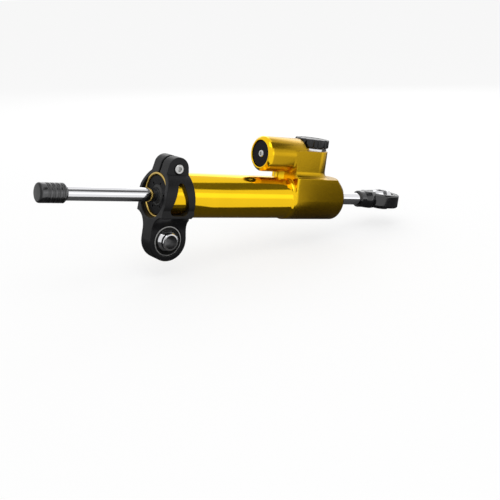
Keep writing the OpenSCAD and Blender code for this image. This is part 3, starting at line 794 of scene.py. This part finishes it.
@cache
def coil_tree():
    """A coil spring along Z from 0 to its height."""
    tree, given, result = new_tree("Coil spring", [
        ("Turns", "Float"), ("Coil radius", "Float"), ("Wire radius", "Float"),
        ("Height", "Float"), ("Steps per turn", "Int")])
    coil = add_node(tree, "GeometryNodeCurveSpiral", {
        "Resolution": given.outputs["Steps per turn"], "Rotations": given.outputs["Turns"],
        "Start Radius": given.outputs["Coil radius"], "End Radius": given.outputs["Coil radius"],
        "Height": given.outputs["Height"]})
    wire = add_node(tree, "GeometryNodeCurvePrimitiveCircle", {
        "Resolution": 12, "Radius": given.outputs["Wire radius"]})
    tube = add_node(tree, "GeometryNodeCurveToMesh", {
        "Curve": coil.outputs[0], "Profile Curve": wire.outputs[0], "Fill Caps": True})
    return end_tree(tree, given, result, tube.outputs[0])


@cache
def ring_tree():
    """Copies of the given piece on a circle in the XY plane."""
    tree, given, result = new_tree("Ring of copies", [
        ("Count", "Int"), ("Ring radius", "Float"), ("First angle", "Float")])
    circle = add_node(tree, "GeometryNodeMeshCircle", {
        "Vertices": given.outputs["Count"], "Radius": given.outputs["Ring radius"]})
    turn = add_node(tree, "ShaderNodeCombineXYZ", {"Z": given.outputs["First angle"]})
    turned = add_node(tree, "GeometryNodeTransform", {
        "Geometry": circle.outputs[0], "Rotation": turn.outputs[0]})
    copies = add_node(tree, "GeometryNodeInstanceOnPoints", {
        "Points": turned.outputs[0], "Instance": given.outputs[0]})
    return end_tree(tree, given, result, copies.outputs[0])


def run_tree(mesh, maker, slot, **inputs):
    """Runs a tree on a mesh and returns the plain mesh that it makes."""
    tree = maker()
    holder = link_object("holder", mesh)
    modifier = holder.modifiers.new("Nodes", "NODES")
    modifier.node_group = tree
    names = {
        item.name.replace(" ", "_").lower(): item.identifier
        for item in tree.interface.items_tree if item.in_out == "INPUT"
    }
    modifier[names["material"]] = finish_of(slot)
    for key, value in inputs.items():
        modifier[names[key]] = value
    return evaluated_mesh(holder)


def turned_mesh(line, slot, segments=96):
    """A profile turned about Z, as a closed mesh."""
    return run_tree(profile_mesh(line), turned_tree, slot, segments=segments)


def set_down(mesh, turn, place):
    """Moves a mesh made about Z to its place in the frame."""
    mesh.transform(Matrix.Translation(place) @ turn)
    outward(mesh)
    smooth(mesh)


class DAMPER_OT_body(bpy.types.Operator):
    """Gold body: tube, block, tower, reservoir and web in one machined piece"""
    bl_idname = "damper.body"
    bl_label = "Damper body"

    def execute(self, context):
        sizes = context.scene.damper_sizes
        usual = sizes.edge_break / sizes.front_edge
        slack = 0.02 * MM
        fade = 0.4 * MM
        block_top = BLOCK_TOP + 0.2 * MM

        def weight(edge):
            """1 on the front edges of the block's sides, fading to 0 just behind them."""
            low = all(vert.co.z < block_top for vert in edge.verts)
            depths = [BLOCK_FRONT - vert.co.x for vert in edge.verts]
            if low and min(depths) > -slack and max(depths) < sizes.front_edge:
                return max(0, 1 - max(depths) / fade)
            return usual

        mesh = with_broken_edges("damper_body", sizes.front_edge, segments=3, weight=weight)
        add_piece("gold_body", mesh, "damper_body")
        return {"FINISHED"}


def corner_cutters(radius):
    """Prisms that round the rear lower corner of the clamp's two side walls."""
    beyond = 4 * MM
    wall_width = 12 * MM
    x, z = WALL_REAR - radius, WALL_LOW + radius
    outline = arc((x, z), radius, 0, -90, steps=24) + [
        (x, WALL_LOW - beyond), (WALL_REAR + beyond, WALL_LOW - beyond), (WALL_REAR + beyond, z)]
    work = bmesh.new()
    for side in (-1, 1):
        face = work.faces.new([work.verts.new((x, side * WALL_SIDE, z)) for x, z in outline])
        grown = bmesh.ops.extrude_face_region(work, geom=[face])
        bmesh.ops.translate(work, vec=(0, side * wall_width, 0), verts=[
            item for item in grown["geom"] if isinstance(item, bmesh.types.BMVert)])
    bmesh.ops.recalc_face_normals(work, faces=work.faces)
    mesh = bpy.data.meshes.new("corner_cutters")
    work.to_mesh(mesh)
    work.free()
    return mesh


class DAMPER_OT_clamp(bpy.types.Operator):
    """Clamp: ring, slit lug and bearing foot with soft edges"""
    bl_idname = "damper.clamp"
    bl_label = "Tube clamp"

    def execute(self, context):
        sizes = context.scene.damper_sizes
        mesh = without(merged_copy("clamp_body"), corner_cutters(sizes.wall_corner))
        mesh = forged(mesh, sizes.clamp_detail, passes=8)
        add_piece("tube_clamp", mesh, "clamp_body")
        return {"FINISHED"}


def rim_mesh():
    """Raised rim of a spanner hole, turned about Z, with the cap's face at height 0."""
    hole = 0.78 * MM
    outside = 1.02 * MM
    slope = 0.04 * MM
    raised = 0.05 * MM
    profile = [(hole, -0.2 * MM), (hole, 0.02 * MM), (outside - slope, raised),
               (outside, -0.02 * MM)]
    return turned_mesh(rounded(profile, radius=0.03 * MM), "black_anodised", segments=24)


class DAMPER_OT_end_caps(bpy.types.Operator):
    """End caps with broken edges and a raised rim round each spanner hole"""
    bl_idname = "damper.end_caps"
    bl_label = "End caps"

    def execute(self, context):
        sizes = context.scene.damper_sizes
        material = cap_black(context.scene.damper_colours)
        for end, face, way in (("front", 0, -1), ("rear", 1, 1)):
            node = end + "_end_cap"
            mesh = with_broken_edges(node, sizes.cap_edge)
            add_piece(end + "_cap_finish", mesh, node, material)
            rims = run_tree(
                rim_mesh(), ring_tree, "black_anodised", count=sizes.pin_holes,
                ring_radius=sizes.pin_circle, first_angle=way * sizes.pin_turn)
            turn = Matrix.Rotation(math.radians(90 * way), 4, "Y")
            place = Vector((extent(node, 0)[face], 0, TUBE_Z))
            rims.transform(Matrix.Translation(place) @ turn)
            smooth(rims)
            add_piece(end + "_hole_rims", rims, node, trim=True)
        return {"FINISHED"}


class DAMPER_OT_rod(bpy.types.Operator):
    """Chromed piston rod with its stepped ends"""
    bl_idname = "damper.rod"
    bl_label = "Piston rod"

    def execute(self, context):
        paint_node("piston_rod")
        return {"FINISHED"}


class DAMPER_OT_stop_cap(bpy.types.Operator):
    """Stop cap on the rod's free end, turned with pairs of grip grooves"""
    bl_idname = "damper.stop_cap"
    bl_label = "Stop cap"

    def execute(self, context):
        sizes = context.scene.damper_sizes
        left, right = extent("stop_cap", 0)
        low, high = extent("stop_cap", 2)
        radius = (high - low) / 2
        floor = radius - sizes.groove_depth
        stud = 3.03 * MM
        round_end = 1.2 * MM
        first_groove = 4 * MM
        bore_depth = 10.5 * MM
        centre = (radius - round_end, left + round_end)
        points = [(0, left)] + arc(centre, round_end, -90, 0, steps=4)
        for pair in range(sizes.groove_pairs):
            for side in range(2):
                start = left + first_groove + pair * sizes.groove_pitch + side * sizes.groove_gap
                end = start + sizes.groove_width
                points += [(radius, start), (floor, start), (floor, end), (radius, end)]
        points += [(radius, right - round_end), (radius - round_end, right), (stud, right),
                   (stud, right - bore_depth), (0, right - bore_depth)]
        mesh = turned_mesh(rounded(points, radius=0.1 * MM, steps=2), "black_anodised")
        set_down(mesh, ALONG_X, TUBE_LINE)
        material = turned_black(context.scene.damper_colours, left)
        add_piece("grooved_stop_cap", mesh, "stop_cap", material)
        return {"FINISHED"}


class DAMPER_OT_knob(bpy.types.Operator):
    """Fluted adjuster knob and the bright detent ring under it"""
    bl_idname = "damper.knob"
    bl_label = "Adjuster knob"

    def execute(self, context):
        sizes = context.scene.damper_sizes
        low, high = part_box("adjuster_knob")
        radius = (high.x - low.x) / 2
        height = high.z - low.z
        chamfer = 0.55 * MM
        neck = 3.05 * MM
        bore_top = 3.3 * MM
        dish = 0.25 * MM
        land = 1.6 * MM
        slope = 0.4 * MM
        steps_per_flute = 18
        points = [
            (0, bore_top), (neck, bore_top), (neck, 0), (radius - chamfer, 0), (radius, chamfer),
            (radius, height - chamfer), (radius - chamfer, height), (radius - land, height),
            (radius - land - slope, height - dish), (0, height - dish)]
        knob = turned_mesh(rounded(points, radius=0.25 * MM), "black_gloss",
                           segments=sizes.knob_flutes * steps_per_flute)
        knob = run_tree(knob, flute_tree, "black_gloss", flutes=sizes.knob_flutes,
                        depth=sizes.flute_depth, rim_radius=radius)
        centre = middle("adjuster_knob")
        set_down(knob, ALONG_Z, Vector((centre.x, centre.y, low.z)))
        add_piece("fluted_knob", knob, "adjuster_knob", knob_black(context.scene.damper_colours))
        paint_node("detent_ring")
        return {"FINISHED"}


class DAMPER_OT_plug(bpy.types.Operator):
    """Reservoir plug and its small bleed screw"""
    bl_idname = "damper.plug"
    bl_label = "Reservoir plug"

    def execute(self, context):
        sizes = context.scene.damper_sizes
        material = plug_black(context.scene.damper_colours)
        mesh = with_broken_edges("reservoir_plug", sizes.cap_edge)
        add_piece("reservoir_plug_finish", mesh, "reservoir_plug", material)
        mesh = with_broken_edges("bleed_screw", width=0.1 * MM)
        add_piece("bleed_screw_finish", mesh, "bleed_screw")
        return {"FINISHED"}


class DAMPER_OT_bearings(bpy.types.Operator):
    """Balls and races of both spherical bearings"""
    bl_idname = "damper.bearings"
    bl_label = "Bearings"

    def execute(self, context):
        colours = context.scene.damper_colours
        for ball, race, turn in (("clamp_ball", "clamp_bearing_race", (90, 0, 0)),
                                 ("rod_end_ball", "rod_end_race", (0, 0, 0))):
            paint_node(ball, bearing_steel(colours, middle(ball), turn))
            paint_node(race, race_steel(colours, middle(race), turn))
        return {"FINISHED"}


class DAMPER_OT_rod_end(bpy.types.Operator):
    """Rod end housing with rounded edges"""
    bl_idname = "damper.rod_end"
    bl_label = "Rod end"

    def execute(self, context):
        mesh = forged(merged_copy("rod_end_housing"), detail=7, passes=10)
        add_piece("rod_end_finish", mesh, "rod_end_housing")
        return {"FINISHED"}


class DAMPER_OT_pinch_screw(bpy.types.Operator):
    """Pinch screw in the clamp's lug"""
    bl_idname = "damper.pinch_screw"
    bl_label = "Pinch screw"

    def execute(self, context):
        mesh = with_broken_edges("pinch_screw", width=0.15 * MM)
        add_piece("pinch_screw_finish", mesh, "pinch_screw")
        return {"FINISHED"}


def spring_mesh(node, axis, wire):
    """Coil spring that fills a node's box along an axis. Returns it and its two ends."""
    low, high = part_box(node)
    across = (high - low)[(axis + 1) % 3] / 2
    start = (low + high) / 2
    end = start.copy()
    start[axis] = low[axis] + wire
    end[axis] = high[axis] - wire
    mesh = run_tree(
        bpy.data.meshes.new("empty"), coil_tree, "steel", turns=5.0, coil_radius=across - wire,
        wire_radius=wire, height=end[axis] - start[axis], steps_per_turn=32)
    set_down(mesh, ALONG_X if axis == 0 else ALONG_Z, start)
    return mesh, start, end


class DAMPER_OT_springs(bpy.types.Operator):
    """Coil springs of compensator and detent"""
    bl_idname = "damper.springs"
    bl_label = "Springs"

    def execute(self, context):
        mesh, start, end = spring_mesh("compensator_spring", axis=0, wire=0.5 * MM)
        add_piece("compensator_spring_wire", mesh, "compensator_spring",
                  span=("compensator", start, end))
        mesh, start, end = spring_mesh("detent_spring", axis=2, wire=0.17 * MM)
        add_piece("detent_spring_wire", mesh, "detent_spring")
        return {"FINISHED"}


class DAMPER_OT_inner_pieces(bpy.types.Operator):
    """Finishes of every piece that keeps its machined mesh"""
    bl_idname = "damper.inner_pieces"
    bl_label = "Inner pieces"

    def execute(self, context):
        for node, piece in frame["nodes"].items():
            if not piece.hide_render and node not in painted_nodes:
                paint_node(node)
        return {"FINISHED"}


# Stage

# Outline and height over the floor of the card that darkens the metal's lower side
CARD_BELOW = ((-0.15, 0.06), (-0.1, -0.05), (0.02, -0.05), (0.035, -0.033), (0.1, -0.03),
              (0.145, -0.075), (0.165, -0.11), (0.215, -0.16), (0.34, -0.16), (0.6, 0.35),
              (-0.05, 0.35))
CARD_BELOW_HEIGHT = 10.2 * MM
# Outline and height of the card above and in front of the block
CARD_ABOVE = ((0.13, -0.52), (0.3, -0.52), (0.47, -0.32), (0.47, -0.03), (0.3, -0.03),
              (0.13, -0.15))
CARD_ABOVE_HEIGHT = 0.45
# Place on the tube that the lamps face
LAMP_AIM = Vector((50 * MM, 0, TUBE_Z))


def background_rays(tree, others):
    """1 for rays from the camera, from mirrors and through glass, and others for the rest."""
    path = add_node(tree, "ShaderNodeLightPath")
    seen = others
    for ray in ("Is Camera Ray", "Is Glossy Ray", "Is Transmission Ray"):
        seen = maths(tree, "MAXIMUM", path.outputs[ray], seen)
    return seen


def floor_material(colour, glow):
    """Pale floor that looks near white, keeps shadows and can't be seen from below."""
    material, tree, shader = new_shader("Studio floor", colour, roughness=0.9, specular=0)
    white = add_node(tree, "ShaderNodeEmission", {
        "Color": (1, 1, 1), "Strength": times(tree, background_rays(tree, 0), glow)})
    lit = add_node(tree, "ShaderNodeAddShader", {0: shader.outputs[0], 1: white.outputs[0]})
    clear = add_node(tree, "ShaderNodeBsdfTransparent")
    side = add_node(tree, "ShaderNodeNewGeometry").outputs["Backfacing"]
    both = add_node(tree, "ShaderNodeMixShader", {0: side, 1: lit.outputs[0], 2: clear.outputs[0]})
    feed(tree, both.outputs[0], tree.nodes["Material Output"].inputs[0])
    return material


def add_stage_piece(name, outline, height, lay, material):
    """A flat piece that isn't part of the damper, at a height over the plane that lay gives."""
    mesh = bpy.data.meshes.new(name)
    mesh.from_pydata([(x, y, height) for x, y in outline], [], [range(len(outline))])
    mesh.transform(lay)
    coat(mesh, material)
    piece = link_object(name, mesh)
    piece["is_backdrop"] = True
    return piece


def add_card(name, outline, height, lay, level):
    """A grey card that only reflections see, and that casts no shadow."""
    material = new_shader(name, (level, level, level), roughness=1, specular=0)[0]
    card = add_stage_piece(name, outline, height, lay, material)
    card.visible_camera = False
    card.visible_diffuse = False
    card.visible_shadow = False
    card.visible_transmission = False


def add_lamp(name, place, size, radiance):
    """A soft box at place that faces the damper; radiance is the brightness of its face."""
    data = bpy.data.lights.new(name, "AREA")
    data.shape = "RECTANGLE"
    data.size, data.size_y = size
    data.energy = radiance * math.pi * size[0] * size[1]
    lamp = link_object(name, data)
    lamp.location = place
    lamp.rotation_euler = (LAMP_AIM - Vector(place)).to_track_quat("-Z", "Y").to_euler()


def floor_frame(studio):
    """Matrix that lays a piece made in the XY plane on the tilted floor."""
    tilt = Matrix.Rotation(-studio.floor_tilt, 4, "Y")
    normal = tilt @ Vector((0, 0, 1))
    return Matrix.Translation(-studio.floor_depth * normal) @ tilt


def add_world(level):
    """Even light from all round, white where the camera, a mirror or glass looks into it."""
    world = bpy.data.worlds.new("Studio")
    bpy.context.scene.world = world
    world.use_nodes = True
    tree = world.node_tree
    background = tree.nodes["Background"]
    feed(tree, (1, 1, 1), background.inputs["Color"])
    feed(tree, background_rays(tree, others=level), background.inputs["Strength"])


def add_camera(studio):
    """The camera at the photograph's angle."""
    right = Vector(studio.camera_right).normalized()
    down = Vector(studio.camera_down).normalized()
    ahead = right.cross(down)
    turn = Matrix((right, -down, -ahead)).transposed()
    camera = link_object("Camera", bpy.data.cameras.new("Camera"))
    camera.data.lens = studio.lens
    camera.data.sensor_width = 36
    camera.data.clip_start = 0.01
    camera.data.clip_end = 100
    camera.matrix_world = Matrix.Translation(studio.camera_place) @ turn.to_4x4()
    bpy.context.scene.camera = camera


class DAMPER_OT_stage(bpy.types.Operator):
    """Floor, cards, soft boxes, world and camera"""
    bl_idname = "damper.stage"
    bl_label = "Stage"

    def execute(self, context):
        studio = context.scene.damper_studio
        lay = floor_frame(studio)
        disc = arc((0, 0), studio.floor_radius, 0, 360, steps=64)[1:]
        material = floor_material(context.scene.damper_colours.floor, studio.floor_glow)
        add_stage_piece("studio_floor", disc, 0, lay, material)
        add_card("card_below", CARD_BELOW, CARD_BELOW_HEIGHT, lay, level=0.1)
        add_card("card_above", CARD_ABOVE, CARD_ABOVE_HEIGHT, ALONG_Z, level=0.42)
        add_lamp("Key soft box", (-0.3, -0.35, 0.8), (0.7, 0.5), radiance=1.1)
        add_lamp("Back soft box", (0.42, 0.5, 0.42), (0.7, 0.4), radiance=1.1)
        add_lamp("Front soft box", (0.42, -0.5, 0.12), (0.6, 0.24), radiance=0.5)
        add_world(studio.world_level)
        add_camera(studio)
        context.scene.view_settings.view_transform = "Standard"
        return {"FINISHED"}


OPERATORS = (
    DAMPER_OT_body, DAMPER_OT_clamp, DAMPER_OT_end_caps, DAMPER_OT_rod, DAMPER_OT_stop_cap,
    DAMPER_OT_knob, DAMPER_OT_plug, DAMPER_OT_bearings, DAMPER_OT_rod_end,
    DAMPER_OT_pinch_screw, DAMPER_OT_springs, DAMPER_OT_inner_pieces, DAMPER_OT_stage,
)


class DAMPER_PT_panel(bpy.types.Panel):
    """Settings and steps of the steering damper"""
    bl_idname = "DAMPER_PT_panel"
    bl_label = "Steering damper"
    bl_space_type = "VIEW_3D"
    bl_region_type = "UI"
    bl_category = "Damper"

    def draw(self, context):
        scene = context.scene
        for group in (scene.damper_colours, scene.damper_sizes, scene.damper_studio):
            box = self.layout.box()
            for key in group.__annotations__:
                box.prop(group, key)
        for operator in OPERATORS:
            self.layout.operator(operator.bl_idname)


CLASSES = (DamperColours, DamperSizes, StudioSettings, *OPERATORS, DAMPER_PT_panel)


def register():
    for cls in CLASSES:
        bpy.utils.register_class(cls)
    bpy.types.Scene.damper_colours = PointerProperty(type=DamperColours)
    bpy.types.Scene.damper_sizes = PointerProperty(type=DamperSizes)
    bpy.types.Scene.damper_studio = PointerProperty(type=StudioSettings)


def unregister():
    del bpy.types.Scene.damper_studio
    del bpy.types.Scene.damper_sizes
    del bpy.types.Scene.damper_colours
    for cls in reversed(CLASSES):
        bpy.utils.unregister_class(cls)


def main():
    register()
    for operator in OPERATORS:
        group, name = operator.bl_idname.split(".")
        getattr(getattr(bpy.ops, group), name)()
    boxes = {"cad": CAD_BOX, "visual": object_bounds()}
    {key: [list(corner) for corner in box] for key, box in boxes.items()}


if __name__ == "__main__":
    main()
